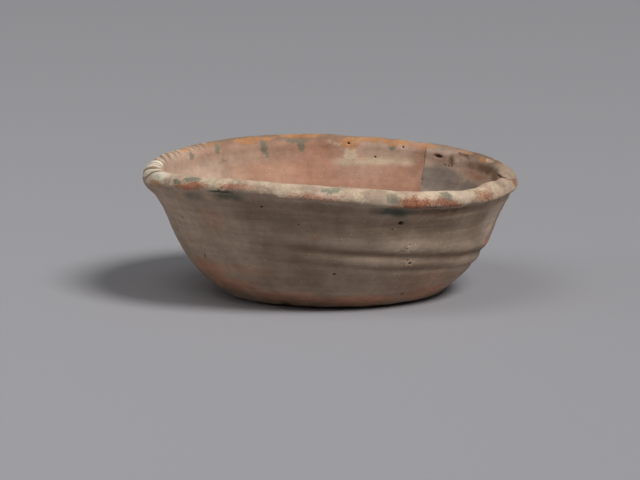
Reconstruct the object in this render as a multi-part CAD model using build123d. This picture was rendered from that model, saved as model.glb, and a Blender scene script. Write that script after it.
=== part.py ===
from build123d import *
import os
from math import cos, radians, sin, tan

# A wheel-thrown earthenware bowl, broken once and mended: the vessel, one sherd of wall and
# rim set back in its place, and the film of adhesive between the break faces.
# Millimetres, +Z up. The origin is the centre of the base on the surface it stands on, +X is
# to the right and -Y to the front. Angles are in degrees from +X towards +Y.

# Outside of the vessel: radii from the axis and heights above the base
BASE_RADIUS = 44.7
BASE_EDGE_RADIUS = 4.0
HAUNCH_RADIUS = 55.6
HAUNCH_HEIGHT = 9.0
BELLY_RADIUS = 66.2
BELLY_HEIGHT = 25.0
NECK_RADIUS = 71.8
NECK_HEIGHT = 38.4

# Lip: a rolled bead that leans out over the neck
RIM_RADIUS = 78.0
CREST_HEIGHT = 53.7
LIP_RADIUS = 4.2
LIP_UNDERCUT = 36.0

# Clay thickness, and the places along the outside, foot to lip, where the wall's is set
WALL_THICKNESS = 5.4
WALL_PLACES = (0.72, 0.48, 0.26)
FLOOR_THICKNESS = 6.5
FLOOR_RADIUS = 34.0

# Turning grooves in the outside of the wall: place along it, foot to lip, depth, and half width
# as a share of the wall. They slope, higher at one side than in the middle by a share of the wall.
GROOVES = ((0.50, 0.3, 0.02), (0.62, 0.6, 0.035), (0.84, 0.25, 0.03))
GROOVE_SLOPE = 0.11
GROOVE_HIGH_SIDE = 180.0

# The hand-made mouth: how far the rim rises, per wave round the rim, and the side it rises to
MOUTH_TILT = 2.45
MOUTH_TILT_SIDE = 162.0
MOUTH_SADDLE = 1.85
MOUTH_SADDLE_SIDE = 77.0
MOUTH_RIPPLE = 0.67
MOUTH_RIPPLE_SIDE = 8.5
MOUTH_OVAL = 0.43
MOUTH_OVAL_SIDE = 33.0
MOUTH_SHIFT = -0.8

# The mended break: angle round the bowl, and place along the outside of the wall, foot to lip,
# or 1 and the place along the lip, outside to inside
BREAK_LINE = (
    (54.4, 1.58), (54.4, 0.85), (53.4, 0.68), (54.5, 0.53), (48.0, 0.44), (34.0, 0.40), (21.0, 0.44),
    (7.0, 0.41), (-5.0, 0.45), (-9.5, 0.55), (-3.0, 0.80), (4.6, 1.97), (-13.8, 1.53),
)
JOIN_GAP = 0.3

# Fineness of the vessel's surface
RING_POINTS = 16
EDGE_RINGS = 3
WALL_RINGS = 12
LIP_RINGS = 12
INSIDE_RINGS = 8


def polar(radius, angle):
    """A point of a plane at an angle from its X direction."""
    return Vector(radius * cos(radians(angle)), radius * sin(radians(angle)))


def section():
    """The stretches of the vessel's section: the base's worn edge, outside wall, lip and inside wall."""
    lip_centre = Vector(RIM_RADIUS - LIP_RADIUS, CREST_HEIGHT - LIP_RADIUS)
    lip_start = lip_centre + polar(LIP_RADIUS, -LIP_UNDERCUT)
    lip_end = lip_centre - Vector(LIP_RADIUS, 0)
    foot = Vector(BASE_RADIUS, 0)
    haunch = Vector(HAUNCH_RADIUS, HAUNCH_HEIGHT)
    lean = (haunch - foot).get_angle(Vector(1, 0))
    cut_back = BASE_EDGE_RADIUS * tan(radians(lean / 2))
    edge = CenterArc(foot + Vector(-cut_back, BASE_EDGE_RADIUS), BASE_EDGE_RADIUS, -90, lean)
    wall = Spline(
        foot,
        haunch,
        Vector(BELLY_RADIUS, BELLY_HEIGHT),
        Vector(NECK_RADIUS, NECK_HEIGHT),
        lip_start,
        tangents=(haunch - foot, polar(1, 90 - LIP_UNDERCUT)),
    )
    lip = ThreePointArc(lip_start, lip_centre + Vector(0, LIP_RADIUS), lip_end)
    inward = [wall @ t + (wall % t).rotate(Axis.Z, 90) * WALL_THICKNESS for t in WALL_PLACES]
    inside = Spline(
        lip_end,
        *inward,
        Vector(FLOOR_RADIUS, FLOOR_THICKNESS),
        tangents=(Vector(0, -1), Vector(-1, 0)),
    )
    return edge, wall, lip, inside


def warped(point, angle):
    """Where a point of the section lies at an angle round the bowl, as uneven as the mouth is."""
    height_share = (point.Y - FLOOR_THICKNESS) / (CREST_HEIGHT - FLOOR_THICKNESS)
    share = max(0.0, height_share) ** 2
    lift = (
        MOUTH_TILT * cos(radians(angle - MOUTH_TILT_SIDE))
        + MOUTH_SADDLE * cos(radians(2 * (angle - MOUTH_SADDLE_SIDE)))
        + MOUTH_RIPPLE * cos(radians(3 * (angle - MOUTH_RIPPLE_SIDE)))
    )
    radius = point.X + share * MOUTH_OVAL * cos(radians(2 * (angle - MOUTH_OVAL_SIDE)))
    flat = polar(radius, angle)
    return Vector(flat.X + share * MOUTH_SHIFT, flat.Y, point.Y + share * lift)


def ring(line, place, depth=0.0, slope=0.0):
    """The closed curve round the bowl at one place of the section, set in by a groove's depth."""
    points = []
    for step in range(RING_POINTS):
        angle = MOUTH_TILT_SIDE + 360 * step / RING_POINTS
        sloped = place + slope * cos(radians(angle - GROOVE_HIGH_SIDE))
        points.append(warped(line @ sloped - Vector(depth, 0), angle))
    shares = [step / RING_POINTS for step in range(RING_POINTS + 1)]
    return Wire([Edge.make_spline(points, periodic=True, parameters=shares)])


def wall_rings(first):
    """Each ring's place along the wall and its depth: evenly spaced, and three to a groove."""
    spacing = (1 - first) / WALL_RINGS
    rings = []
    for middle, depth, half in GROOVES:
        rings += [(middle - half, 0.0), (middle, depth), (middle + half, 0.0)]
    for step in range(WALL_RINGS):
        place = first + step * spacing
        if all(abs(place - middle) > half + spacing / 3 for middle, _, half in GROOVES):
            rings.append((place, 0.0))
    return sorted(rings)


def vessel(edge, wall, lip, inside):
    """The whole bowl as it left the kiln, the edge of its base rounded by wear."""
    first = (edge @ 1 - wall @ 0).length / wall.length
    rings = [ring(edge, step / EDGE_RINGS) for step in range(EDGE_RINGS)]
    rings += [ring(wall, p, depth, 4 * p * (1 - p) * GROOVE_SLOPE) for p, depth in wall_rings(first)]
    rings += [ring(lip, step / LIP_RINGS) for step in range(LIP_RINGS)]
    rings += [ring(inside, step / INSIDE_RINGS) for step in range(INSIDE_RINGS + 1)]
    return Solid.make_loft(rings, ruled=True)


def break_cutters(wall, lip):
    """Two pyramids from the middle of the mouth out through the break line.

    The faces of both run square through the wall, as a clean break does. The first holds the
    sherd, and the second is wider by the join's gap.
    """
    middle = (BREAK_LINE[0][0] + BREAK_LINE[-1][0]) / 2
    apex = Vector(0, 0, CREST_HEIGHT)
    outward = polar(1, middle)
    aside = outward.rotate(Axis.Z, 90)
    reach = 2 * RIM_RADIUS

    outline = []
    for angle, place in BREAK_LINE:
        on_wall = place <= 1
        corner = warped(wall @ place if on_wall else lip @ (place - 1), angle) - apex
        stretch = reach / corner.dot(outward)
        outline.append((stretch * corner.dot(aside), stretch * corner.Z))
    above_rim = 4 * LIP_RADIUS
    outline += [(outline[-1][0], above_rim), (outline[0][0], above_rim)]
    narrow = make_face(Polyline(*outline, close=True))
    wide = offset(narrow, JOIN_GAP * reach / BELLY_RADIUS, kind=Kind.INTERSECTION)

    far = Plane(origin=apex + outward * reach, x_dir=aside, z_dir=outward)
    return [loft([far * face, Vertex(apex)], ruled=True) for face in (narrow, wide)]


edge, wall, lip, inside = section()
whole = vessel(edge, wall, lip, inside)
sherd_cutter, gap_cutter = break_cutters(wall, lip)
broken_out = whole & gap_cutter

nodes = {
    "bowl_body": whole - gap_cutter,
    "rejoined_sherd": broken_out & sherd_cutter,
    "join_adhesive": broken_out - sherd_cutter,
}

os.makedirs("parts", exist_ok=True)
for name, shape in nodes.items():
    export_step(shape, f"parts/{name}.step")
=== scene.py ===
from math import cos, pi, radians, sin

import bmesh
import bpy
import numpy as np
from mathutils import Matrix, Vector, noise
from mathutils.kdtree import KDTree


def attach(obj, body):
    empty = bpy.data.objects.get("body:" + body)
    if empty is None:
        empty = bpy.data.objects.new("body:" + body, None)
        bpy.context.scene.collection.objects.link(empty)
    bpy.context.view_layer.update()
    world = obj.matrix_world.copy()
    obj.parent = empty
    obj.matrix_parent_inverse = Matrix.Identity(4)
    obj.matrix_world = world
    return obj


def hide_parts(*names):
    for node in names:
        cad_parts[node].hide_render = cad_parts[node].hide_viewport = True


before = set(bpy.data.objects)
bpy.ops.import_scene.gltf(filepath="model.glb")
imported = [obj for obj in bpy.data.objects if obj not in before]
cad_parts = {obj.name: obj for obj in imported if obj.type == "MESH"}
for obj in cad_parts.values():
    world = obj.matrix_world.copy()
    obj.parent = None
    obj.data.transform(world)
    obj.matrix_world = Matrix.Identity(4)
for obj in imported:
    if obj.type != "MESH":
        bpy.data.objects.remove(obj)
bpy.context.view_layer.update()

# A worn, wheel-thrown earthenware bowl with one sherd glued back in.
# Lengths are in millimetres and angles in degrees round the axis, from +X towards +Y, unless a
# comment says otherwise. MM turns lengths into the scene's metres.
# A place on the clay is an angle and a run: the length along the section from the crest of the
# lip, positive down the outside and negative down the inside.
MM = 0.001

# Outside of the vessel: radii from the axis and heights above the base
BASE_RADIUS = 44.7
BASE_EDGE_FILLET = 4.0
HAUNCH = (55.6, 9.0)
BELLY = (66.2, 25.0)
NECK = (71.8, 38.4)

# Lip, wall and floor, with the shares of the wall's length where its thickness is set
RIM_RADIUS = 78.0
CREST_HEIGHT = 53.7
LIP_RADIUS = 4.2
LIP_UNDERCUT = 36.0
WALL_THICKNESS = 5.4
WALL_PLACES = (0.72, 0.48, 0.26)
FLOOR_THICKNESS = 6.5
FLOOR_RADIUS = 34.0

# The hand-made mouth: the waves round its rim, how far each lifts it and the side it rises to,
# then how far the rim is drawn out to an oval, towards which side, and its shift along X
MOUTH_WAVES = ((1, 2.45, 162.0), (2, 1.85, 77.0), (3, 0.67, 8.5))
MOUTH_OVAL = 0.43
MOUTH_OVAL_SIDE = 33.0
MOUTH_SHIFT = -0.8

# The mended break: angle, and share of the outside wall, foot to lip, or 1 and a share of the lip
BREAK_LINE = (
    (54.4, 1.58), (54.4, 0.85), (53.4, 0.68), (54.5, 0.53), (48.0, 0.44), (34.0, 0.40), (21.0, 0.44),
    (7.0, 0.41), (-5.0, 0.45), (-9.5, 0.55), (-3.0, 0.80), (4.6, 1.97), (-13.8, 1.53),
)

# How far the break is cut above the rim, the gap of the join, the length and height of the
# break's roughness, and how far the film of adhesive lies under the surface
ABOVE_RIM = 10.0
JOIN_GAP = 0.3
BREAK_STEP = 1.1
BREAK_JAG = 0.3
FILM_RECESS = 0.15

# Fineness of the mesh: the angle where its chart is cut open, its columns, the height of its rows
# on the wall, at the base's edge and on flat clay, the margins of finer mesh round marks, the steps
# of each stretch of the section, and the angle from which an edge shows as sharp
SEAM = 110.0
COLUMNS = 500
WALL_ROW = 0.95
EDGE_ROW = 0.4
FLAT_ROW = 3.0
PIT_MARGIN = 0.8
JOIN_MARGIN = 1.3
SECTION_STEPS = 160
SHARP_ANGLE = 50.0

# Finger grooves that wind down the outside: the middle's height at one angle, its fall per
# degree, the angles where they end and fade, and their profile: height from the middle, depth
# and width of each groove, or of a ridge where the depth is negative
SPIRAL_ANGLE = -57.0
SPIRAL_HEIGHT = 24.2
SPIRAL_FALL = 0.094
SPIRAL_ENDS = (-150.0, 150.0)
SPIRAL_FADE = 40.0
SPIRAL_PROFILE = (
    (-1.2, 0.5, 1.4), (3.6, -0.25, 2.4), (-4.2, -0.2, 1.6), (-7.0, 0.3, 0.9), (12.0, 0.2, 1.6),
)

# The spiral that the potter's finger left on the floor
FLOOR_SPIRAL_DEPTH = 0.22
FLOOR_SPIRAL_PITCH = 7.5

# Pits in the clay: angle, run, half width, half height and depth
PITS = (
    (-67.4, 18.3, 1.5, 1.2, 1.5), (-150.2, 22.4, 0.9, 0.8, 1.0), (-145.2, 39.2, 0.7, 1.3, 0.8),
    (-89.6, 42.8, 0.8, 0.6, 0.8), (-57.2, 58.0, 1.0, 0.8, 0.9), (48.5, -6.5, 2.8, 1.0, 1.3),
    (63.6, -4.7, 0.7, 0.6, 0.7), (74.0, -10.1, 0.7, 0.5, 0.6), (83.6, -5.0, 1.0, 0.7, 0.7),
    (-112.0, 12.5, 0.8, 0.6, 0.7), (-70.0, 21.5, 0.5, 0.4, 0.5), (-101.0, 20.0, 0.5, 0.5, 0.5),
    (45.4, -9.8, 0.6, 0.5, 0.5), (43.6, -9.9, 0.5, 0.6, 0.5), (42.0, -9.7, 0.6, 0.5, 0.5),
    (-61.0, 38.5, 0.9, 0.6, 0.8), (-62.3, 37.0, 0.7, 0.4, 0.5), (-62.8, 29.0, 0.5, 0.5, 0.4),
    (-61.5, 32.6, 0.6, 0.4, 0.4), (-65.2, 32.0, 0.5, 0.5, 0.4), (-63.6, 30.9, 0.5, 0.4, 0.4),
)
UNSEEN_PITS = 26
PIT_SEED = 11

# Losses from the surface: angle, run, half width, half height and depth
FLAKE_SCAR = (37.5, -5.6, 5.5, 3.0, 1.3)
EDGE_CHIP = (-16.5, 34.8, 2.2, 1.6, 0.6)
BASE_NOTCH = (-114.5, 66.0, 2.8, 3.2, 0.6)

# Where the lip's lower edge lies further down, or less far: angle, half width in degrees, and
# how much
LIP_DROPS = ((-30.0, 62.0, 1.7), (-121.0, 17.0, -1.4))

# The lip: the depth of its finger strokes, how far its underside is filled at the left end and its
# outside worn back at the right end, how far the rim is pulled up there, and its crest beside that
STROKE_DEPTH = 0.42
LEFT_FILLING = 1.3
RIGHT_WEAR = 1.0
RIM_PULL = 0.8
CREST_SWELL = 1.1

# The base: how far its worn edge stands clear of what it stands on, and how deep its dents are
BASE_LIFT = 1.05
BASE_DENT = 0.12


def srgb(red, green, blue):
    """A colour given as it shows on screen, as the linear light that shaders use."""
    return tuple(((c + 0.055) / 1.055) ** 2.4 for c in (red, green, blue))


# Colours of the clay and of what is on it, some also used for painted light and shade
PINK_CLAY = srgb(0.695, 0.525, 0.435)
# Paler clay; also painted light on the outside's side edges
PALE_CLAY_AND_LIGHT = srgb(0.765, 0.67, 0.59)
BUFF_CLAY = srgb(0.675, 0.59, 0.51)
# Duller clay; also painted shade in the groove hollows and under the lip
DULL_CLAY_AND_SHADE = srgb(0.475, 0.385, 0.31)
# Painted highlight for the ridges of the winding grooves
RIDGE_HIGHLIGHT = srgb(0.70, 0.62, 0.545)
RED_CLAY = srgb(0.73, 0.53, 0.43)
FRESH_CLAY = srgb(0.90, 0.575, 0.475)
SHERD_CLAY = srgb(0.755, 0.665, 0.595)
GREY_STAIN = srgb(0.55, 0.51, 0.465)
# Olive stain; also painted shade under the sherd's inner lip edge
OLIVE_STAIN_AND_SHADE = srgb(0.50, 0.43, 0.35)
TEAL_STAIN = srgb(0.34, 0.34, 0.30)
CREAM_SLIP = srgb(0.815, 0.74, 0.63)
PINK_SLIP = srgb(0.745, 0.635, 0.555)
# Whiter slip; also a painted highlight on a facet near the lip's left end
WHITE_SLIP_AND_HIGHLIGHT = srgb(0.88, 0.83, 0.745)
OCHRE = srgb(0.74, 0.53, 0.35)
BRICK = srgb(0.68, 0.455, 0.345)
DARK_BRICK = srgb(0.44, 0.28, 0.21)
GREEN = srgb(0.44, 0.46, 0.395)
DIRT = srgb(0.17, 0.14, 0.12)
GRIT = srgb(0.86, 0.80, 0.71)
RESIN = srgb(0.56, 0.48, 0.41)
FLOOR_GREY = srgb(0.635, 0.63, 0.645)

# How much of what lies under it each of these hides where it is thickest
STAIN_COVER = 0.75
CRUMB_COVER = 0.4
GRIT_COVER = 0.4
SPECK_COVER = 0.45
# Dirt, and painted shade under the lip, hide this much at most
DIRT_AND_SHADE_COVER = 0.9

# Broad tones of the clay, with painted light and shade among them: angle, run, half width, half height and
# strength of each patch
INSIDE_PALE = (
    (160, -16, 55, 22, 0.85), (128, -9, 26, 6, 0.55), (140, -13, 16, 10, 0.9), (70, -7, 27, 5.5, 0.9),
)
# Paler clay, and painted light on the outside's right and left edges at the front
OUTSIDE_PALE_AND_EDGE_LIGHT = (
    (-20, 22, 13, 15, 1), (-156, 22, 32, 18, 0.5), (-36, 42, 22, 7, 0.3), (118, 30, 26, 12, 0.45),
    (70, 44, 20, 9, 0.4),
)
# Duller clay, and painted shade under the front of the lip
OUTSIDE_DULL_AND_SHADE = (
    (-92, 24, 36, 18, 0.45), (-92, 46, 40, 10, 0.25), (-51, 11.5, 30, 4.2, 0.9), (-90, 12, 26, 3.4, 0.6),
    (-68, 20, 12, 9, 0.65), (-50, 46, 34, 9, 0.3), (-54, 20, 20, 9, 0.7), (-50, 39, 24, 6, 0.7),
    (-50, 30, 24, 5, 0.3), (55, 18, 24, 9, 0.5), (150, 40, 22, 11, 0.5), (95, 54, 26, 7, 0.4),
)
OUTSIDE_RED = (
    (-148, 46, 17, 8, 0.9), (-138, 54, 22, 8, 0.85), (-112, 59, 28, 7, 0.8), (-42, 59, 22, 8, 0.85),
    (-78, 61, 30, 6, 0.85), (-128, 43, 24, 4, 0.4), (-133, 21, 11, 8, 0.3), (160, 57, 26, 8, 0.8),
    (60, 60, 34, 7, 0.75), (-50, 50, 30, 8, 0.3),
)
DULL_STAINS = (
    (110, -1.5, 62, 5, 0.7), (25, -1.5, 26, 5, 0.85), (46, -1.5, 12, 4, 0.5), (126, -9, 32, 12, 0.16),
    (-70, -66, 34, 18, 0.3), (120, -74, 30, 14, 0.25), (-57, 53, 15, 8, 0.2),
)
TEAL_STAINS = ((-70.3, 10.8, 12, 4.5, 0.95), (-122.5, 10.2, 9, 3, 0.8), (-137, 11, 8, 2.6, 0.5))
FRESH_CHIPS = ((-16.5, 34.8, 2.8, 2.6, 1.6),)
SHERD_GREY = ((46, -16.5, 18, 8, 1.8), (28, -19, 14, 6.5, 1.5))
# Painted shade under the inner edge of the lip on the sherd, and along the flake scar's left edge
SHERD_SHADE = (
    (19.5, -6.4, 18, 3.6, 0.95), (9, -8, 9, 6, 0.9), (41.8, -7, 3, 3.4, 0.9), (30, -7.2, 8, 2.6, 0.7),
    (37, -8, 6, 1.8, 0.6),
)
SHERD_PINK = ((27, -11.2, 13, 3, 0.75),)

# Slip left along the front of the lip: its strength and the angles where it ends
LIP_SLIP = 0.74
LIP_SLIP_ENDS = (-172, -12)

# Traces of what lies on the clay, in patches like those of its tones: slip, where it is whiter
# and where it is gone, ochre, green and brick red, and painted shade under the lip's lower edge
SLIP_PATCHES = (
    (83.4, -10.2, 4.4, 4.8, 0.9), (38.6, -5, 1.8, 1.5, 1), (34.2, -5.4, 2.4, 1.6, 1),
    (-160, 3.5, 12, 6, 1.3), (89, -5.5, 5, 1.6, 0.7), (177, -1, 14, 5, 0.85), (-152, 2.5, 20, 6, 1.3),
    (-127, 1.6, 14, 4.4, 1), (-106, 1.8, 16, 5.2, 1), (-66, 1, 13, 5, 1),
    (-46, 2.6, 11, 7, 1.1), (-63, 30.5, 8, 3.4, 0.45), (-61, 37.6, 7, 3, 0.45), (60, 3, 18, 4.5, 0.8),
    (100, 2.5, 24, 4.5, 0.85), (136, 4, 16, 4.5, 0.8), (20, 3, 10, 4, 0.7), (21, -2.2, 7, 1.8, 0.65),
)
# Whiter slip, and a painted highlight on the facet near the left end of the lip
WHITE_AND_HIGHLIGHT_PATCHES = ((-156, 3.6, 11, 3.6, 1.3), (-46, 2.6, 7, 4, 0.3))
BARE_PATCHES = ((-75, 3.8, 10, 4.8, 1), (-22, 3, 9, 4, 0.3), (-115, 5, 14, 2.6, 0.5))
OCHRE_PATCHES = (
    (-157, 7.2, 8.5, 2, 0.8), (83.4, -4.6, 7, 4, 1), (118.6, -2.8, 15, 2.8, 0.95),
    (100, -1.6, 18, 2.4, 0.85), (75, -2, 14, 2.6, 0.9), (66, -2.4, 11, 2.8, 0.95),
    (54, -2.4, 9, 2.8, 0.8), (150, -1.8, 6, 2.6, 0.8), (25.5, -2.8, 10, 3.2, 0.5), (13, -2, 8, 2.2, 0.45),
    (36, -1.6, 10, 2.2, 0.55), (135, -1.8, 12, 1.8, 0.6), (-96, 25, 4, 1.4, 0.5),
)
GREEN_PATCHES = (
    (148.8, -5.4, 2.8, 3.2, 0.8), (134.1, -5.4, 2.4, 3.8, 0.8), (114.8, -6.4, 2.4, 3.6, 1),
    (113.4, -9.6, 1.6, 2.2, 0.75), (100.5, -6.7, 2.8, 3.2, 1), (102.6, -4.3, 10, 1.4, 0.85),
    (67.4, -5.3, 2.4, 2, 0.9), (-144, 4.8, 4.6, 1.5, 1), (-137, 3, 7, 1.7, 1.15),
    (-90.4, 3, 6.5, 2.4, 0.85), (-71.5, 4.2, 5.2, 2.8, 0.65), (-53.1, 2.9, 5.4, 2.6, 0.8),
    (-122.5, 9.2, 6.5, 1.8, 0.7), (132, -9.6, 5, 1.2, 0.55),
)
BRICK_PATCHES = (
    (-137, 6, 17, 2.6, 0.85), (-120, 5.4, 15, 2.6, 0.65), (-64, 5.4, 12, 3.2, 1),
    (-51, 6.6, 10, 2.2, 0.75), (-54, 5.2, 12, 3.2, 0.8), (-36.5, 4.5, 12, 3.8, 0.64),
    (-66, 7.4, 15, 1.7, 0.75), (-8, 4.6, 9, 3.4, 0.75), (-96, 6.7, 17, 1.8, 0.55),
    (84, 6.2, 15, 2.2, 0.75), (42, 5.6, 11, 2.4, 0.7), (122, 6, 10, 2, 0.7),
)
# Painted shade under the lower edge of the lip, at the front
SHADE_UNDER_LIP = (
    (-124.7, 8, 11, 1.4, 0.7), (-52, 10, 26, 2.4, 0.45), (-60, 7.8, 22, 1.2, 0.52),
    (-92, 9.4, 20, 1.6, 0.4),
)

# Camera: the photograph's viewing angle, in 640 by 480 pixels
CAMERA_ELEVATION = 9.263
CAMERA_DISTANCE = 1700.0
CAMERA_AIM = (-5.345, 0.0, 21.241)
CAMERA_LENS = 228.07
CAMERA_SENSOR = 36.0

# Stage, in metres: half the floor's width, the direction, width in radians and strength of the
# sun, what the lamps are turned to, each lamp's name, place, width and watts, and the room's light
FLOOR_HALF = 3.0
SUN_FROM = (0.60, -0.55, 1.0)
SUN_WIDTH = 0.38
SUN_STRENGTH = 2.55
LAMP_TARGET = (0, 0, 0.03)
LAMPS = (
    ("fill", (-0.50, -0.50, 1.30), 0.9, 5.0),
    ("right", (1.1, 0.3, 0.40), 0.5, 0.6),
    ("left", (-1.1, -0.1, 0.40), 0.5, 1.4),
)
ROOM_LIGHT = 0.08


def ease(low, high, value):
    """Rises smoothly from 0 at low to 1 at high; falls if low is above high."""
    share = np.clip((value - low) / (high - low), 0, 1)
    return share * share * (3 - 2 * share)


def turn_between(angle, other):
    """The signed angle from other to angle, from -180 to 180."""
    return (angle - other + 180) % 360 - 180


def beside(angle, side, near, far):
    """1 up to near degrees from a side of the bowl, falling to 0 at far degrees from it."""
    return ease(far, near, np.abs(turn_between(angle, side)))


def window(value, start, full, fading, end):
    """Rises from 0 at start to 1 at full, and falls again from fading to end."""
    return ease(start, full, value) * ease(end, fading, value)


def clamped_spline(knots, start, end, steps):
    """Points along a cubic curve through the knots, with its directions at both ends given."""
    knots = np.array(knots, float)
    spans = np.linalg.norm(np.diff(knots, axis=0), axis=1)
    system = np.eye(len(knots))
    slopes = np.zeros_like(knots)
    slopes[0] = np.array(start) / np.linalg.norm(start)
    slopes[-1] = np.array(end) / np.linalg.norm(end)
    for i in range(1, len(knots) - 1):
        before, after = spans[i - 1], spans[i]
        system[i, i - 1:i + 2] = 1 / before, 2 / before + 2 / after, 1 / after
        rise_before = (knots[i] - knots[i - 1]) / before**2
        rise_after = (knots[i + 1] - knots[i]) / after**2
        slopes[i] = 3 * (rise_before + rise_after)
    slopes = np.linalg.solve(system, slopes)
    t = np.linspace(0, 1, steps)[:, None]
    pieces = []
    for i, span in enumerate(spans):
        pieces.append(
            (2 * t**3 - 3 * t**2 + 1) * knots[i]
            + (t**3 - 2 * t**2 + t) * span * slopes[i]
            + (3 * t**2 - 2 * t**3) * knots[i + 1]
            + (t**3 - t**2) * span * slopes[i + 1]
        )
    return np.concatenate(pieces)


def arc(centre, radius, first, last, steps):
    """Points along an arc of the section."""
    turn = np.radians(np.linspace(first, last, steps))
    return np.array(centre) + radius * np.stack([np.cos(turn), np.sin(turn)], 1)


def lengths_along(line):
    """The length from the first point of a line to each of its points."""
    return np.concatenate([[0], np.cumsum(np.linalg.norm(np.diff(line, axis=0), axis=1))])


def outside_wall():
    """The outside of the section, from the foot to where the lip's bead starts."""
    lip_centre = np.array((RIM_RADIUS - LIP_RADIUS, CREST_HEIGHT - LIP_RADIUS))
    lip_start = arc(lip_centre, LIP_RADIUS, -LIP_UNDERCUT, -LIP_UNDERCUT, 1)[0]
    foot = (BASE_RADIUS, 0.0)
    leaving = np.subtract(HAUNCH, foot)
    arriving = (sin(radians(LIP_UNDERCUT)), cos(radians(LIP_UNDERCUT)))
    return clamped_spline((foot, HAUNCH, BELLY, NECK, lip_start), leaving, arriving, SECTION_STEPS)


def at_length(line, along, length):
    """The point of a line at a length along it."""
    return np.array([np.interp(length, along, line[:, k]) for k in (0, 1)])


def at_share(line, share):
    """The point at a share of a line's length, and the line's direction there."""
    along = lengths_along(line)
    target = share * along[-1]
    step = 0.2
    ahead = at_length(line, along, target + step) - at_length(line, along, target - step)
    return at_length(line, along, target), ahead / np.linalg.norm(ahead)


def section():
    """The section's runs, radii and heights, from the middle of the floor over the lip to the base's."""
    wall = outside_wall()
    lip_centre = (RIM_RADIUS - LIP_RADIUS, CREST_HEIGHT - LIP_RADIUS)
    lip = arc(lip_centre, LIP_RADIUS, -LIP_UNDERCUT, 180, SECTION_STEPS)
    inward = []
    for share in WALL_PLACES:
        point, ahead = at_share(wall, share)
        inward.append(point + WALL_THICKNESS * np.array((-ahead[1], ahead[0])))
    floor_edge = (FLOOR_RADIUS, FLOOR_THICKNESS)
    inside = clamped_spline((lip[-1], *inward, floor_edge), (0, -1), (-1, 0), SECTION_STEPS)

    lean = np.degrees(np.arctan2(HAUNCH[1], HAUNCH[0] - BASE_RADIUS))
    edge_middle = BASE_RADIUS - BASE_EDGE_FILLET * np.tan(np.radians(lean) / 2)
    edge = arc((edge_middle, BASE_EDGE_FILLET), BASE_EDGE_FILLET, -90, lean - 90, SECTION_STEPS)
    wall = wall[wall[:, 1] > edge[-1, 1]]
    line = np.concatenate([[(0, 0)], edge, wall, lip, inside, [(0, FLOOR_THICKNESS)]])
    line = line[np.concatenate([[True], np.linalg.norm(np.diff(line, axis=0), axis=1) > 1e-6])]
    along = lengths_along(line)
    crest = along[np.argmax(line[:, 1])]
    return (crest - along)[::-1], line[::-1, 0], line[::-1, 1]


RUNS, RADII, HEIGHTS = section()
FLOOR_EDGE_RUN = np.max(RUNS[(RUNS < 0) & (RADII <= FLOOR_RADIUS)])
BASE_EDGE_RUN = np.min(RUNS[(RUNS > 0) & (HEIGHTS <= 0)])
LIP_START_RUN = LIP_RADIUS * radians(90 + LIP_UNDERCUT)


def height_of(run):
    """The height of a place on the unwarped vessel."""
    return np.interp(run, RUNS, HEIGHTS)


def radius_of(run):
    """The radius of a place on the unwarped vessel."""
    return np.interp(run, RUNS, RADII)


def smooth_clay(angle, run):
    """Points of the warped vessel before any wear."""
    turn = np.radians(angle)
    height = height_of(run)
    share = np.clip((height - FLOOR_THICKNESS) / (CREST_HEIGHT - FLOOR_THICKNESS), 0, None) ** 2
    lift = sum(size * np.cos(count * np.radians(angle - side)) for count, size, side in MOUTH_WAVES)
    radius = radius_of(run) + share * MOUTH_OVAL * np.cos(2 * np.radians(angle - MOUTH_OVAL_SIDE))
    across = radius * np.cos(turn) + share * MOUTH_SHIFT
    return np.stack([across, radius * np.sin(turn), height + share * lift], -1)


def outward(angle, run):
    """The directions that the vessel's surface faces."""
    step = 0.4
    run = np.clip(run, RUNS[0] + 2 * step, RUNS[-1] - 2 * step)
    along = smooth_clay(angle, run + step) - smooth_clay(angle, run - step)
    around = smooth_clay(angle + step, run) - smooth_clay(angle - step, run)
    facing = np.cross(along, around)
    return facing / np.linalg.norm(facing, axis=-1, keepdims=True)


def lumps(points, size, seed):
    """Smooth noise from -1 to 1, with lumps of about that size."""
    offset = np.array((seed * 17.31, seed * 5.77, seed * 29.13))
    return np.array([noise.noise(p) for p in (points / size + offset).tolist()])


def streaks(angle, run, size, seed, length=1.2):
    """Noise drawn out round the bowl, as a potter's fingers leave it."""
    turn = np.radians(angle)
    points = np.stack([np.cos(turn) / length, np.sin(turn) / length, run / size], -1)
    return lumps(points, 1.0, seed)


def within(angle, run, mark):
    """How far inside a mark's oval each place lies: 1 in its middle, 0 on its edge, and below."""
    across = np.radians(turn_between(angle, mark[0])) * radius_of(mark[1]) / mark[2]
    return 1 - np.hypot(across, (run - mark[1]) / mark[3])


def pit_marks():
    """The pits that show, and more of the same kind on the sides that don't."""
    random = np.random.default_rng(PIT_SEED)
    unseen = []
    for _ in range(UNSEEN_PITS):
        angle = random.uniform(-15, 205)
        run = random.uniform(12, 60) if random.random() < 0.7 else -random.uniform(16, 60)
        half = random.uniform(0.4, 0.9)
        unseen.append((angle, run, half, half * random.uniform(0.7, 1.2), half))
    return (*PITS, *unseen)


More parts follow.
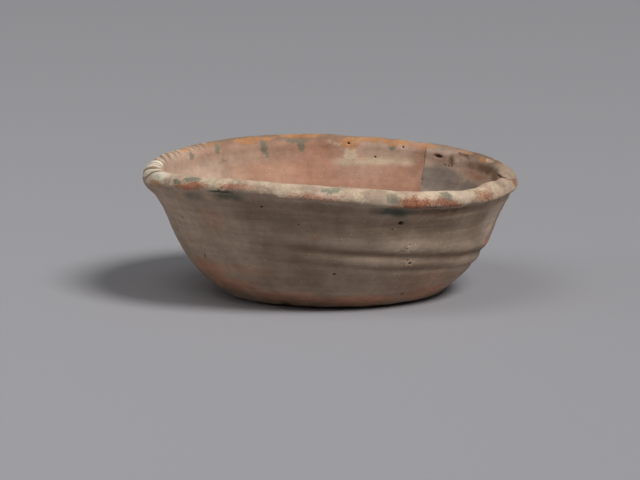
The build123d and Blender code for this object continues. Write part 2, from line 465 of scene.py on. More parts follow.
class Break:
    """The break line as an outline on a far plane, seen from the middle of the mouth."""

    def __init__(self):
        angles = [angle for angle, _ in BREAK_LINE]
        self.apex = np.array((0, 0, CREST_HEIGHT))
        self.reach = 2 * RIM_RADIUS
        middle = radians((angles[0] + angles[-1]) / 2)
        self.forward = np.array((cos(middle), sin(middle), 0))
        self.aside = np.array((-sin(middle), cos(middle), 0))
        shares = np.array([share for _, share in BREAK_LINE])
        foot_run = LIP_START_RUN + lengths_along(outside_wall())[-1]
        on_lip = LIP_START_RUN - (shares - 1) * LIP_RADIUS * radians(180 + LIP_UNDERCUT)
        runs = np.where(shares > 1, on_lip, foot_run + shares * (LIP_START_RUN - foot_run))
        corners = smooth_clay(np.array(angles), runs)
        self.line = self.jagged(self.seen(corners)[0])
        top = self.reach * ABOVE_RIM / RIM_RADIUS
        self.outline = np.concatenate([self.line, [(self.line[-1, 0], top), (self.line[0, 0], top)]])

    def seen(self, points):
        """Points as they fall on the far plane, and how much smaller the clay is than its image."""
        offset = points - self.apex
        depth = offset @ self.forward
        scale = np.maximum(depth, 1.0) / self.reach
        return np.stack([offset @ self.aside, offset[:, 2]], 1) / scale[:, None], scale

    def jagged(self, corners):
        """The line through the corners, roughened as a break in coarse clay is."""
        enlarged = self.reach / BELLY[0]
        along = lengths_along(corners)
        steps = np.linspace(0, along[-1], int(along[-1] / (BREAK_STEP * enlarged)))
        line = np.stack([np.interp(steps, along, corners[:, k]) for k in (0, 1)], 1)
        places = np.stack([steps, 0 * steps, 0 * steps], 1)
        for k in (0, 1):
            rough = lumps(places, 2.3 * BREAK_STEP * enlarged, 40 + k) + 0.5 * lumps(places, 3.1, 42 + k)
            line[1:-1, k] += BREAK_JAG * enlarged * rough[1:-1]
        return line

    def distance(self, points):
        """Millimetres along the clay from each point to the break."""
        flat, scale = self.seen(points)
        nearest = np.full(len(flat), 1e9)
        for start, end in zip(self.line, self.line[1:]):
            edge = end - start
            share = np.clip((flat - start) @ edge / (edge @ edge), 0, 1)
            nearest = np.minimum(nearest, np.linalg.norm(flat - start - share[:, None] * edge, axis=1))
        behind = (points - self.apex) @ self.forward < 1
        return np.where(behind, 1e3, nearest * scale)

    def inside(self, points):
        """Which points lie on the sherd."""
        flat, _ = self.seen(points)
        odd = np.zeros(len(flat), bool)
        for start, end in zip(self.outline, np.roll(self.outline, -1, axis=0)):
            crosses = (start[1] > flat[:, 1]) != (end[1] > flat[:, 1])
            slope = (end[0] - start[0]) / (end[1] - start[1] + 1e-12)
            odd ^= crosses & (flat[:, 0] < start[0] + slope * (flat[:, 1] - start[1]))
        return odd & ((points - self.apex) @ self.forward > 1)

    def cutter(self, name, widen):
        """A pyramid from the middle of the mouth through the break line, widened by a gap."""
        ahead = np.roll(self.outline, -1, axis=0) - np.roll(self.outline, 1, axis=0)
        away = np.stack([-ahead[:, 1], ahead[:, 0]], 1)
        away /= np.linalg.norm(away, axis=1, keepdims=True)
        turning = np.cross(self.outline, np.roll(self.outline, -1, axis=0)).sum()
        flat = self.outline - np.sign(turning) * away * widen * self.reach / BELLY[0]
        far = self.apex + self.reach * self.forward + flat[:, :1] * self.aside
        far[:, 2] += flat[:, 1]
        points = np.concatenate([far, [self.apex]]) * MM
        count = len(far)
        faces = [tuple(range(count))]
        faces += [((i + 1) % count, i, count) for i in range(count)]
        mesh = bpy.data.meshes.new(name)
        mesh.from_pydata(points.tolist(), [], faces)
        solid = bmesh.new()
        solid.from_mesh(mesh)
        bmesh.ops.triangulate(solid, faces=solid.faces)
        bmesh.ops.recalc_face_normals(solid, faces=solid.faces)
        solid.to_mesh(mesh)
        solid.free()
        return mesh


def throwing_relief(angle, run, points):
    """Unevenness left by the wheel and the hand."""
    lines = 0.13 * streaks(angle, run, 3.2, 1) + 0.06 * streaks(angle, run, 1.4, 2, 0.7)
    on_wall = window(run, RUNS[0] + 6, RUNS[0] + 20, BASE_EDGE_RUN - 4, BASE_EDGE_RUN)
    off_lip = ease(4, 11, np.abs(run))
    uneven = 0.3 * lumps(points, 30, 3) + 0.14 * lumps(points, 11, 4)
    grain = 0.03 * lumps(points, 2.2, 5)
    return on_wall * (lines * (0.35 + 0.65 * off_lip) + uneven + grain)


def above_spiral(angle, run):
    """The height above the middle of the winding grooves, and how strong they are there."""
    unwound = turn_between(angle, sum(SPIRAL_ENDS) / 2) + sum(SPIRAL_ENDS) / 2
    middle = SPIRAL_HEIGHT - SPIRAL_FALL * (unwound - SPIRAL_ANGLE)
    first, last = SPIRAL_ENDS
    fade = window(unwound, first, first + SPIRAL_FADE, last - SPIRAL_FADE, last)
    outside = window(run, 9, 13, BASE_EDGE_RUN - 5, BASE_EDGE_RUN)
    return height_of(run) - middle, fade * outside


def spiral_relief(angle, run):
    """The finger grooves that wind down the outside of the wall."""
    above, strength = above_spiral(angle, run)
    grooves = np.zeros(len(angle))
    for place, depth, width in SPIRAL_PROFILE:
        grooves += depth * np.exp(-((above - place) / width) ** 2)
    return -strength * grooves


def stroked(angle):
    """How plain the finger strokes are round the rim: 1 at the left end, 0 away from it."""
    return beside(angle, 180, 16, 24)


def finger_strokes(angle, run, points):
    """Strokes that fingers left across the lip at the left, fainter towards the back: -1 to 1."""
    left = stroked(angle)
    back = 0.5 * beside(angle, 152, 10, 22)
    across = window(run, -5, -2, 5, 8)
    curved = 0.08 * left * np.clip(run + 4, 0, None) ** 2
    slanted = turn_between(angle, 172) + curved + 4.0 * lumps(points, 11, 8)
    strokes = 2 * np.abs(np.sin(np.radians((34 - 0.3 * slanted) * slanted))) - 1
    return np.maximum(left, back) * across * strokes


def lip_drop(angle):
    """How much further down the lip's lower edge lies than on an even bead."""
    drop = np.zeros(len(angle))
    for side, half, size in LIP_DROPS:
        drop += size * beside(angle, side, 0.6 * half, half)
    return drop


def lip_overhang(angle, run, points):
    """The swollen lower edge of the lip over an undercut, which is filled at the left end."""
    drop = lip_drop(angle)
    fullness = np.clip(drop, 0, None)
    low = run - drop
    overhang = (0.45 + 0.2 * fullness) * np.exp(-((low - 6.8) / (1.3 + 0.3 * fullness)) ** 2)
    overhang -= 0.85 * np.exp(-((low - 9.8) / 1.7) ** 2)
    left_end = beside(angle, 178, 12, 30)
    overhang *= (0.75 + 0.6 * lumps(points, 18, 14)) * (1 - left_end)
    return overhang + LEFT_FILLING * left_end * np.exp(-((run - 9.5) / 4.0) ** 2)


def lip_crumbling(angle, run, points):
    """What has crumbled from the lower edge of the lip, most of it at the front left and right."""
    low = run - lip_drop(angle)
    edge = window(low, 2.5, 5.5, 8.5, 10.5)
    share = 0.35 + 0.65 * np.maximum(beside(angle, -142, 15, 27), beside(angle, -45, 30, 45))
    coarse = np.clip(lumps(points, 2.6, 9) + 0.1, 0, 1) * 0.8
    fine = np.clip(lumps(points, 1.3, 10), 0, 1) * 0.4
    return edge * share * (coarse + fine)


def lip_relief(angle, run, points):
    """The worn lip: a lumpy bead with finger strokes, its overhang, and what it has lost."""
    on_lip = ease(10.5, 5, np.abs(run))
    bead = 0.34 * lumps(points, 13, 6) + 0.2 * lumps(points, 5, 7)
    strokes = STROKE_DEPTH * (finger_strokes(angle, run, points) - 0.7 * stroked(angle))
    right_end = beside(angle, 2, 6, 22) * window(run, -1, 3, 7, 10)
    relief = on_lip * (bead + strokes) + lip_overhang(angle, run, points)
    return relief - RIGHT_WEAR * right_end - lip_crumbling(angle, run, points)


def mark_relief(angle, run, points, pits):
    """Pits, chips and the flake lost from the inner edge of the lip."""
    depth = np.zeros(len(angle))
    for mark in pits:
        depth = np.maximum(depth, mark[4] * ease(-0.15, 0.75, within(angle, run, mark)))
    ragged = 0.35 * lumps(points, 2.4, 11) + 0.2 * lumps(points, 1.1, 12)
    for mark in (FLAKE_SCAR, EDGE_CHIP, BASE_NOTCH):
        depth += mark[4] * ease(0, 0.3, within(angle, run, mark) + ragged * 0.6) * (1 + 0.6 * ragged)
    return -depth


def join_relief(angle, run, distance):
    """The break's worn arrises: open at the lip, nearly closed down the wall."""
    across_lip = ease(11, 6, np.abs(run)) * ease(3.5, 1, run)
    right = ease(30, 10, turn_between(angle, 0))
    depth = 0.06 + (0.15 + 0.25 * right) * across_lip
    half = 0.45 + 0.1 * across_lip
    return -depth * np.clip(1 - distance / half, 0, 1) ** 1.3


def floor_relief(angle, run):
    """The faint spiral in the middle of the floor."""
    radius = radius_of(run)
    on_floor = ease(FLOOR_EDGE_RUN + 4, FLOOR_EDGE_RUN - 6, run) * ease(2, 8, radius)
    return FLOOR_SPIRAL_DEPTH * on_floor * np.cos(2 * pi * radius / FLOOR_SPIRAL_PITCH - np.radians(angle))


def rim_pull(angle, run):
    """How much the rim is pulled up at the right end, and its crest in front of that."""
    pulled = RIM_PULL * ease(22, 4, np.abs(run)) * beside(angle, -6, 12, 30)
    return pulled + CREST_SWELL * window(run, -14, -5, 0, 4) * beside(angle, -27.5, 2, 9)


def base_lift(angle, run, points):
    """How far the worn edge of the base stands clear of what the bowl stands on."""
    at_edge = ease(BASE_RADIUS - 4.5, BASE_RADIUS - 0.5, radius_of(run)) * (run > BASE_EDGE_RUN - 6)
    notch = ease(0, 0.5, within(angle, run, BASE_NOTCH))
    return BASE_LIFT * at_edge * (1 + 0.5 * lumps(points, 8, 29) + 1.8 * notch)


def worn_clay(angle, run, pits, join):
    """Points of the finished surface."""
    points = smooth_clay(angle, run)
    relief = throwing_relief(angle, run, points)
    relief += spiral_relief(angle, run)
    relief += lip_relief(angle, run, points)
    relief += mark_relief(angle, run, points, pits)
    relief += join_relief(angle, run, join.distance(points))
    relief += floor_relief(angle, run)
    worn = points + relief[:, None] * outward(angle, run)
    worn[:, 2] += rim_pull(angle, run)
    under = run > BASE_EDGE_RUN
    dents = BASE_DENT * np.clip(lumps(points[under], 6, 13), 0, 1)
    worn[under, 2] = dents * ease(0, 6, BASE_RADIUS - radius_of(run[under]))
    worn[:, 2] = np.maximum(worn[:, 2], base_lift(angle, run, points))
    return worn


def chart_grid(pits, join):
    """A grid over angle and run, finer at the pits and the joins."""
    under, above = BASE_EDGE_RUN + 5, BASE_EDGE_RUN - 5
    base_rows = np.linspace(RUNS[-1], under, int(BASE_RADIUS / FLAT_ROW))
    edge_rows = np.linspace(under, above, int((under - above) / EDGE_ROW))
    wall_rows = np.linspace(above, FLOOR_EDGE_RUN, int((above - FLOOR_EDGE_RUN) / WALL_ROW))
    floor_rows = np.linspace(FLOOR_EDGE_RUN, RUNS[0], int(FLOOR_RADIUS / FLAT_ROW * 2))
    rows = np.concatenate([base_rows, edge_rows[1:], wall_rows[1:], floor_rows[1:]])
    angles = np.linspace(SEAM, SEAM + 360, COLUMNS + 1)
    grid = bmesh.new()
    verts = [[grid.verts.new((angle, run, 0)) for angle in angles] for run in rows]
    for upper, lower in zip(verts, verts[1:]):
        for i in range(COLUMNS):
            grid.faces.new((upper[i], upper[i + 1], lower[i + 1], lower[i]))
    for join_margin in (JOIN_MARGIN, 0):
        split_near_marks(grid, pits, join, join_margin)
    return grid


def split_near_marks(grid, pits, join, join_margin):
    """Halves the grid's edges near each pit, and near the joins if they have a margin."""
    edges = list(grid.edges)
    middles = np.array([(e.verts[0].co + e.verts[1].co)[:2] for e in edges]) / 2
    angle, run = middles.T
    near = np.zeros(len(edges), bool)
    for mark in pits:
        wider = (*mark[:2], mark[2] + PIT_MARGIN, mark[3] + PIT_MARGIN)
        near |= within(angle, run, wider) > 0
    if join_margin:
        near |= join.distance(smooth_clay(angle, run)) < join_margin
    chosen = [edge for edge, use in zip(edges, near) if use]
    bmesh.ops.subdivide_edges(grid, edges=chosen, cuts=1, use_grid_fill=True)


def vessel_meshes(pits, join):
    """The whole vessel's mesh and a copy set in under its surface, with the chart's angles and runs."""
    grid = chart_grid(pits, join)
    chart = np.array([v.co[:2] for v in grid.verts])
    angle, run = chart.T
    worn = worn_clay(angle, run, pits, join)
    inner = worn - FILM_RECESS * outward(angle, run)
    inner[:, 2] = np.where(run > BASE_EDGE_RUN, FILM_RECESS, inner[:, 2])
    angle_layer = grid.verts.layers.float.new("angle")
    run_layer = grid.verts.layers.float.new("run")
    for vert, (a, r) in zip(grid.verts, chart):
        vert[angle_layer] = a
        vert[run_layer] = r
    meshes = []
    for name, points in (("vessel", worn), ("vessel_core", inner)):
        solid = grid.copy()
        for vert, point in zip(solid.verts, points):
            vert.co = point * MM
        bmesh.ops.remove_doubles(solid, verts=solid.verts, dist=1e-6)
        bmesh.ops.recalc_face_normals(solid, faces=solid.faces)
        mesh = bpy.data.meshes.new(name)
        solid.to_mesh(mesh)
        solid.free()
        meshes.append(mesh)
    grid.free()
    return meshes


def chart_values(mesh, name):
    """The angle or the run of each vertex of a mesh."""
    values = np.zeros(len(mesh.vertices), np.float32)
    mesh.attributes[name].data.foreach_get("value", values)
    return values.astype(float)


def place_in_scene(name, data):
    """A new object in the scene."""
    thing = bpy.data.objects.new(name, data)
    bpy.context.scene.collection.objects.link(thing)
    return thing


def cut(name, mesh, steps):
    """A new mesh: the given one, cut by each (operation, cutter) in turn."""
    work = place_in_scene(name, mesh)
    tools = []
    for operation, cutter in steps:
        tool = place_in_scene(name + "_tool", cutter)
        tools.append(tool)
        boolean = work.modifiers.new(operation, "BOOLEAN")
        boolean.operation = operation
        boolean.object = tool
        boolean.solver = "MANIFOLD"
    graph = bpy.context.evaluated_depsgraph_get()
    result = bpy.data.meshes.new_from_object(work.evaluated_get(graph))
    for extra in (work, *tools):
        bpy.data.objects.remove(extra)
    result.name = name
    return result


def dabs(angle, run, marks):
    """Soft patches: the strongest of several ovals at each place."""
    paint = np.zeros(len(angle))
    for mark in marks:
        paint = np.maximum(paint, mark[4] * ease(0, 0.7, within(angle, run, mark)))
    return paint


def groove_light_and_shade(angle, run, points):
    """Painted light and shade on the winding grooves at the front right: how much of the paler ridges and
    duller hollows shows.
    """
    above, winding = above_spiral(angle, run)
    winding = winding * window(angle, -125, -85, 0, 40)
    above = above + 0.5 * lumps(points, 7, 27)
    ridges = np.exp(-((above - 4.2) / 2.2) ** 2) + 0.4 * np.exp(-((above + 3.2) / 1.3) ** 2)
    hollows = np.exp(-(above / 1.4) ** 2) + 0.5 * np.exp(-((above + 6.2) / 0.8) ** 2)
    return 0.6 * winding * ridges, 0.85 * winding * hollows


def slip_band(angle, run, points):
    """The band of slip along the inside of the back wall, up to the sherd."""
    band = np.exp(-((run + 12 - 0.08 * (75 - angle)) / 1.6) ** 2) * (0.75 + 0.5 * lumps(points, 9, 30))
    return band * window(angle, 56, 61, 86, 92)


def clay_tone(angle, run, points, join, drift):
    """The clay's colour, buff outside, pink inside and grey on the sherd in drifting patches, with painted
    light and shade.
    """
    broad = lumps(points, 22, 24)
    bands = streaks(angle, run, 6.0, 25)
    inside = ease(2, -5, run)
    sherd = join.inside(points) * ease(0, -4, run)
    ridges, hollows = groove_light_and_shade(angle, run, points)
    slip = slip_band(angle, run, points)
    between_strokes = np.clip(-1.6 * finger_strokes(angle, run, points), 0, 1)

    run, angle = run + drift[0], angle + drift[1]
    layers = (
        (BUFF_CLAY, 1),
        (DULL_CLAY_AND_SHADE, 0.18 + 0.35 * bands + 0.45 * broad),
        # the pale patches include painted light on the outside's side edges at the front
        (PALE_CLAY_AND_LIGHT, dabs(angle, run, OUTSIDE_PALE_AND_EDGE_LIGHT)),
        # the dull patches include painted shade under the front of the lip
        (DULL_CLAY_AND_SHADE, dabs(angle, run, OUTSIDE_DULL_AND_SHADE)),
        # painted highlight on the groove ridges, then painted shade in their hollows
        (RIDGE_HIGHLIGHT, ridges),
        (DULL_CLAY_AND_SHADE, hollows),
        (RED_CLAY, dabs(angle, run, OUTSIDE_RED)),
        (TEAL_STAIN, dabs(angle, run, TEAL_STAINS)),
        (PINK_CLAY, inside),
        (PALE_CLAY_AND_LIGHT, inside * (0.1 + 0.2 * bands + 0.35 * broad)),
        (PALE_CLAY_AND_LIGHT, inside * dabs(angle, run, INSIDE_PALE)),
        (CREAM_SLIP, slip),
        (SHERD_CLAY, sherd),
        (GREY_STAIN, sherd * dabs(angle, run, SHERD_GREY)),
        # olive on the sherd is painted shade under the inner edge of the lip
        (OLIVE_STAIN_AND_SHADE, sherd * dabs(angle, run, SHERD_SHADE)),
        (PINK_CLAY, sherd * dabs(angle, run, SHERD_PINK)),
        (DULL_CLAY_AND_SHADE, dabs(angle, run, DULL_STAINS)),
        (OLIVE_STAIN_AND_SHADE, between_strokes),
        (FRESH_CLAY, dabs(angle, run, FRESH_CHIPS)),
    )
    tone = np.zeros((len(angle), 3))
    for colour, share in layers:
        share = np.clip(share * np.ones(len(angle)), 0, 1)[:, None]
        tone = tone * (1 - share) + np.array(colour) * share
    return tone


def lip_slip(angle, run, points):
    """The slip that is left along the front of the lip."""
    first, last = LIP_SLIP_ENDS
    along = window(angle, first - 6, first + 6, last - 8, last + 8)
    across = window(run, -3.5, -1.5, 6.6, 8.0)
    return along * across * (LIP_SLIP + 0.45 * lumps(points, 9, 26))


def pit_darkening(angle, run, pits):
    """Darkening in the pits, less of it in shallow ones."""
    dirt_and_shade = np.zeros(len(angle))
    for mark in pits:
        most = min(1.0, 1.3 * mark[4])
        dirt_and_shade = np.maximum(dirt_and_shade, most * ease(0.05, 0.6, within(angle, run, mark)))
    return dirt_and_shade


def crack_dirt(angle, run, points, join):
    """Dirt in the joins where they cross the lip, less of it inside the back wall."""
    half = 0.4 + 0.1 * ease(30, 10, angle)
    shown = np.where(angle > 30, 0.75 * ease(-1.5, -4, run), ease(2.5, 0, run))
    return np.clip(1.2 - join.distance(points) / half, 0, 1) * ease(11, 9, np.abs(run)) * shown


def painted(angle, run, points, pits, join):
    """What lies on each place: the clay's colour with painted light and shade, and the strength of each
    trace and of wheel marks.
    """
    angle = turn_between(angle, 0)
    hollows = np.maximum(pit_darkening(angle, run, pits), crack_dirt(angle, run, points, join))
    strokes = finger_strokes(angle, run, points)
    turned = 0.35 + 0.65 * ease(-4, 4, run)

    drift = (
        1.0 * lumps(points, 6, 20) + 0.7 * lumps(points, 2.4, 21),
        np.degrees(1.2 * lumps(points, 6, 22) + 0.7 * lumps(points, 2.4, 23)) / RIM_RADIUS,
    )
    run = run - lip_drop(angle) * window(run, 2, 6, 12, 18)
    clay = clay_tone(angle, run, points, join, drift)
    run, angle = run + drift[0], angle + drift[1]
    slip = np.maximum(dabs(angle, run, SLIP_PATCHES), lip_slip(angle, run, points))
    low_or_right = np.maximum(ease(1, 4, run), ease(-45, -25, angle))
    return {
        "clay": clay,
        "slip": slip * (1 - 0.45 * stroked(angle)) + 1.3 * strokes - dabs(angle, run, BARE_PATCHES),
        # Whiter slip, with a painted highlight on a facet near the lip's left end
        "white_and_highlight": np.maximum(dabs(angle, run, WHITE_AND_HIGHLIGHT_PATCHES), beside(angle, 184, 8, 16)),
        "ochre": dabs(angle, run, OCHRE_PATCHES),
        "green": dabs(angle, run, GREEN_PATCHES),
        "brick": dabs(angle, run, BRICK_PATCHES),
        # Dirt in pits and joins, and painted shade under the lip
        "dirt_and_shade": np.maximum(hollows, dabs(angle, run, SHADE_UNDER_LIP)),
        "crumbs": 0.2 + 0.8 * beside(angle, -48, 35, 50) * low_or_right,
        "turned": turned,
    }


def spread(paint, source, mesh):
    """Gives a cut mesh the paint of the nearest vertices of the whole vessel."""
    tree = KDTree(len(source))
    for i, vert in enumerate(source):
        tree.insert(vert.co, i)
    tree.balance()
    nearest = [tree.find(vert.co)[1] for vert in mesh.vertices]
    for name, values in paint.items():
        chosen = values[nearest]
        if name == "clay":
            attribute = mesh.attributes.new(name, "FLOAT_COLOR", "POINT")
            opaque = np.concatenate([chosen, np.ones((len(chosen), 1))], 1)
            attribute.data.foreach_set("color", opaque.astype(np.float32).ravel())
        else:
            attribute = mesh.attributes.new(name, "FLOAT", "POINT")
            attribute.data.foreach_set("value", chosen.astype(np.float32))


class Shading:
    """Short calls for one material's node tree."""

    def __init__(self, name):
        self.material = bpy.data.materials.new(name)
        self.material.use_nodes = True
        self.tree = self.material.node_tree
        self.shader = self.tree.nodes["Principled BSDF"]

    def feed(self, socket, value):
        """Links a socket to another, or sets its value."""
        if isinstance(value, bpy.types.NodeSocket):
            self.tree.links.new(value, socket)
        elif socket.type == "RGBA" and len(value) == 3:
            socket.default_value = (*value, 1)
        else:
            socket.default_value = value

    def add(self, kind, inputs, output=0, **settings):
        """Adds a node and returns one of its outputs."""
        node = self.tree.nodes.new(kind)
        for name, value in settings.items():
            setattr(node, name, value)
        for name, value in inputs.items():
            self.feed(node.inputs[name], value)
        return node.outputs[output]

    def math(self, operation, *values, clamp=False):
        """One step of arithmetic."""
        inputs = dict(enumerate(values))
        return self.add("ShaderNodeMath", inputs, operation=operation, use_clamp=clamp)

    def vector(self, operation, *values, **inputs):
        """One step of arithmetic with vectors."""
        inputs.update(enumerate(values))
        return self.add("ShaderNodeVectorMath", inputs, operation=operation)

    def noise(self, place, scale, detail=3.0, rough=0.55):
        """Noise from 0 to 1, with about that many lumps per millimetre."""
        inputs = {"Vector": place, "Scale": scale, "Detail": detail, "Roughness": rough}
        return self.add("ShaderNodeTexNoise", inputs)

    def between(self, value, low, high, to_low=0.0, to_high=1.0):
        """A value moved from one range to another, kept inside it."""
        inputs = {"Value": value, "From Min": low, "From Max": high, "To Min": to_low, "To Max": to_high}
        return self.add("ShaderNodeMapRange", inputs)

    def swing(self, noise_value, middle, size):
        """Noise as a swing to both sides of a middle value."""
        return self.between(noise_value, 0.3, 0.7, middle - size, middle + size)

    def mix(self, share, first, second, blend="MIX"):
        """Two colours mixed."""
        inputs = {0: share, 6: first, 7: second}
        return self.add("ShaderNodeMix", inputs, 2, data_type="RGBA", blend_type=blend)

    def cover(self, share, most, under, over):
        """A colour under another that hides at most a given share of it."""
        return self.mix(self.math("MULTIPLY", share, most), under, over)

    def paint(self, name, output="Fac"):
        """A trace's strength, or the clay's colour, at each place."""
        return self.add("ShaderNodeAttribute", {}, output, attribute_name=name)

    def finish(self, values):
        """The material, with these values on its shader."""
        for name, value in values.items():
            self.feed(self.shader.inputs[name], value)
        return self.material


def clay_places(shading):
    """Positions in millimetres, and the same drawn out round the bowl for streaks."""
    position = shading.add("ShaderNodeTexCoord", {}, "Object")
    place = shading.vector("SCALE", position, Scale=1 / MM)
    flat = shading.vector("MULTIPLY", position, (1, 1, 0))
    around = shading.vector("SCALE", shading.vector("NORMALIZE", flat), Scale=4.5)
    upward = shading.vector("MULTIPLY", place, (0, 0, 1))
    return place, shading.vector("ADD", around, upward)


def broken(shading, name, place, scale, ragged, sharp):
    """A trace's strength, broken up by noise into worn patches with ragged edges."""
    patch = shading.math("SUBTRACT", shading.noise(place, scale, 5.0, 0.65), 0.5)
    strength = shading.math("MULTIPLY_ADD", patch, ragged, shading.paint(name))
    shifted = shading.math("SUBTRACT", strength, 0.5)
    return shading.math("MULTIPLY_ADD", shifted, sharp, 0.5, clamp=True)


def clay_traces(shading, place):
    """How much of the clay each trace covers; the dirt trace also holds painted shade under the lip."""
    return {
        "slip": broken(shading, "slip", place, 0.6, 1.7, 2.2),
        "brick": broken(shading, "brick", place, 1.3, 2.0, 1.8),
        "ochre": broken(shading, "ochre", place, 0.5, 2.0, 2.2),
        "green": broken(shading, "green", place, 0.8, 2.2, 2.0),
        "dirt_and_shade": broken(shading, "dirt_and_shade", place, 1.2, 0.7, 2.5),
    }


def clay_textures(shading, place, drawn):
    """The noises that the clay's brightness and its fine relief share."""
    return {
        "streak": shading.noise(drawn, 0.55, 4.0, 0.6),
        "fine_streak": shading.noise(drawn, 1.7, 3.0, 0.6),
        "mottle": shading.noise(place, 0.35, 5.0, 0.62),
        "grain": shading.noise(place, 2.6, 4.0, 0.65),
    }


def clay_brightness(shading, place, textures):
    """How light each place is: wheel marks, mottling, clouds and grain."""
    coarse = shading.swing(textures["streak"], 0, 0.10)
    fine = shading.swing(textures["fine_streak"], 0, 0.03)
    lines = shading.math("MULTIPLY", shading.math("ADD", coarse, fine), shading.paint("turned"))
    tone = shading.math("ADD", lines, shading.swing(textures["mottle"], 1, 0.09))
    tone = shading.math("MULTIPLY", tone, shading.swing(shading.noise(place, 0.11, 2.0), 1, 0.14))
    return shading.math("MULTIPLY", tone, shading.swing(textures["grain"], 1, 0.06))


def traced_clay(shading, place, traces):
    """The clay's colour with slip, brick red, ochre and green over it."""
    crumbs = shading.between(shading.noise(place, 1.6, 6.0, 0.75), 0.46, 0.60)
    crumbs = shading.math("MULTIPLY", crumbs, shading.paint("crumbs"))
    pink = shading.between(shading.noise(place, 0.16, 3.0), 0.4, 0.62)
    slip = shading.mix(pink, CREAM_SLIP, PINK_SLIP)
    slip = shading.mix(shading.paint("white_and_highlight"), slip, WHITE_SLIP_AND_HIGHLIGHT)
    slip = shading.cover(crumbs, CRUMB_COVER, slip, DARK_BRICK)
    colour = shading.mix(traces["slip"], shading.paint("clay", "Color"), slip)
    colour = shading.mix(traces["brick"], colour, shading.mix(crumbs, BRICK, DARK_BRICK))
    colour = shading.cover(traces["ochre"], STAIN_COVER, colour, OCHRE)
    return shading.cover(traces["green"], STAIN_COVER, colour, GREEN)


def clay_grit(shading, place):
    """Single pale grains in the clay."""
    cells = {"Vector": place, "Scale": 0.55}
    distance = shading.add("ShaderNodeTexVoronoi", cells, "Distance")
    chance = shading.add("ShaderNodeTexVoronoi", cells, "Color")
    lone = shading.between(chance, 0.72, 0.76)
    return shading.math("MULTIPLY", shading.between(distance, 0.2, 0.1), lone)


def clay_bump(shading, textures, traces, grit):
    """The fine relief of the clay and of what lies on it, with heights in millimetres."""
    parts = (
        (textures["fine_streak"], 0.05),
        (textures["streak"], 0.10),
        (textures["mottle"], 0.12),
        (traces["slip"], 0.06),
        (grit, 0.06),
        (traces["brick"], 0.05),
    )
    height = shading.math("MULTIPLY", textures["grain"], 0.06)
    for part, depth in parts:
        height = shading.math("MULTIPLY_ADD", part, depth, height)
    return shading.add("ShaderNodeBump", {"Height": height, "Strength": 1.0, "Distance": MM})


def clay_material(name):
    """Worn earthenware: mottled clay under broken slip, ochre, green and brick traces, with painted light
    and shade.
    """
    shading = Shading(name)
    place, drawn = clay_places(shading)
    traces = clay_traces(shading, place)
    textures = clay_textures(shading, place, drawn)
    grit = clay_grit(shading, place)
    specks = shading.between(shading.noise(place, 1.3, 2.0, 0.5), 0.68, 0.74)

    colour = traced_clay(shading, place, traces)
    colour = shading.mix(1.0, colour, clay_brightness(shading, place, textures), "MULTIPLY")
    colour = shading.cover(grit, GRIT_COVER, colour, GRIT)
    colour = shading.cover(specks, SPECK_COVER, colour, DIRT)
    colour = shading.cover(traces["dirt_and_shade"], DIRT_AND_SHADE_COVER, colour, DIRT)
    return shading.finish({
        "Base Color": colour,
        "Roughness": shading.between(traces["green"], 0, 1, 0.88, 0.62),
        "Specular IOR Level": 0.3,
        "Normal": clay_bump(shading, textures, traces, grit),
    })


def resin_material():
    """Set adhesive, dark with dust."""
    shading = Shading("resin")
    place, _ = clay_places(shading)
    dust = shading.noise(place, 0.8, 4.0)
    return shading.finish({
        "Base Color": shading.mix(shading.between(dust, 0.35, 0.7), RESIN, DULL_CLAY_AND_SHADE),
        "Roughness": shading.between(dust, 0.3, 0.7, 0.4, 0.7),
        "Normal": shading.add("ShaderNodeBump", {"Height": dust, "Strength": 0.6, "Distance": 0.1 * MM}),
    })


def add_piece(piece_name, name, mesh, material):
    """Puts a finished mesh in the scene in place of the CAD node of that name."""
    mesh.materials.clear()
    mesh.materials.append(material)
    mesh.shade_smooth()
    mesh.set_sharp_from_angle(angle=radians(SHARP_ANGLE))
    piece = place_in_scene(piece_name, mesh)
    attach(piece, "root")
    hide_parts(name)


def build_bowl():
    """The body, the sherd and the film of adhesive between them."""
    join = Break()
    pits = pit_marks()
    vessel, core = vessel_meshes(pits, join)
    angle, run = chart_values(vessel, "angle"), chart_values(vessel, "run")
    paint = painted(angle, run, smooth_clay(angle, run), pits, join)

    narrow = join.cutter("sherd_cutter", 0)
    wide = join.cutter("gap_cutter", JOIN_GAP)
    body = cut("bowl_body", vessel, [("DIFFERENCE", wide)])
    sherd = cut("rejoined_sherd", vessel, [("INTERSECT", narrow)])
    film = cut("join_adhesive", core, [("INTERSECT", wide), ("DIFFERENCE", narrow)])
    for mesh in (body, sherd):
        spread(paint, vessel.vertices, mesh)
    add_piece("bowl_body_clay", "bowl_body", body, clay_material("fired_clay"))
    add_piece("rejoined_sherd_clay", "rejoined_sherd", sherd, clay_material("stained_clay"))
    add_piece("join_adhesive_film", "join_adhesive", film, resin_material())


def floor_material():
    """Plain, dull grey."""
    values = {"Base Color": FLOOR_GREY, "Roughness": 0.7, "Specular IOR Level": 0.2}
    return Shading("floor_grey").finish(values)


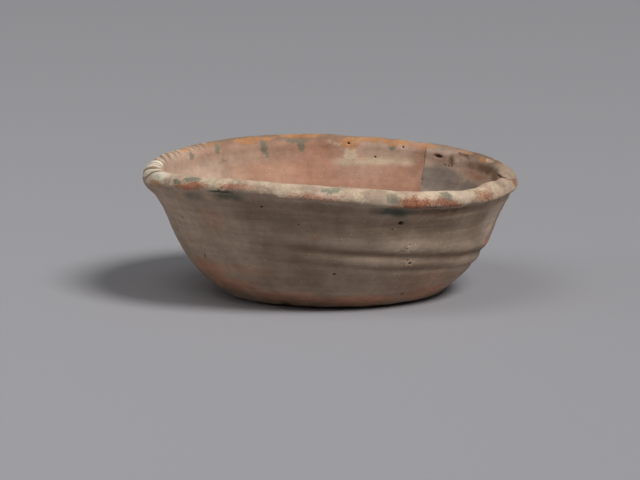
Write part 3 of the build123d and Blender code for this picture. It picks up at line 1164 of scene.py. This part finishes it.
def add_floor():
    """A plain floor that runs back out of view."""
    half = FLOOR_HALF
    corners = [(-half, -half, 0), (half, -half, 0), (half, half, 0), (-half, half, 0)]
    mesh = bpy.data.meshes.new("floor")
    mesh.from_pydata(corners, [], [(0, 1, 2, 3)])
    mesh.materials.append(floor_material())
    floor = place_in_scene("floor", mesh)


def aim(light, towards):
    """Turns a light so that it shines in a direction."""
    light.rotation_euler = Vector(towards).to_track_quat("-Z", "Y").to_euler()


def add_lamp(name, place, size, watts):
    """A soft square lamp, turned towards the bowl."""
    lamp = bpy.data.lights.new(name, "AREA")
    lamp.shape = "SQUARE"
    lamp.size = size
    lamp.energy = watts
    light = place_in_scene(name, lamp)
    light.location = place
    aim(light, Vector(LAMP_TARGET) - Vector(place))


def add_sun():
    """A wide sun, with soft shadows."""
    lamp = bpy.data.lights.new("key", "SUN")
    lamp.angle = SUN_WIDTH
    lamp.energy = SUN_STRENGTH
    light = place_in_scene("key", lamp)
    light.location = SUN_FROM
    aim(light, -Vector(SUN_FROM))


def add_lights():
    """The sun from the front right, a lamp above the front left, weak ones at the sides, an even room."""
    add_sun()
    for name, place, size, watts in LAMPS:
        add_lamp(name, place, size, watts)
    world = bpy.data.worlds.new("room")
    world.use_nodes = True
    room = world.node_tree.nodes["Background"]
    room.inputs["Color"].default_value = (1, 1, 1, 1)
    room.inputs["Strength"].default_value = ROOM_LIGHT
    bpy.context.scene.world = world


def add_camera():
    """The camera at the photograph's place, with its long lens."""
    data = bpy.data.cameras.new("camera")
    data.lens = CAMERA_LENS
    data.sensor_width = CAMERA_SENSOR
    data.clip_end = 100
    camera = place_in_scene("camera", data)
    tilt = radians(CAMERA_ELEVATION)
    back = Vector((0, -cos(tilt), sin(tilt)))
    camera.location = (Vector(CAMERA_AIM) + CAMERA_DISTANCE * back) * MM
    camera.rotation_euler = (pi / 2 - tilt, 0, 0)
    bpy.context.scene.camera = camera


build_bowl()
add_floor()
add_lights()
add_camera()
bpy.context.scene.view_settings.view_transform = "Standard"
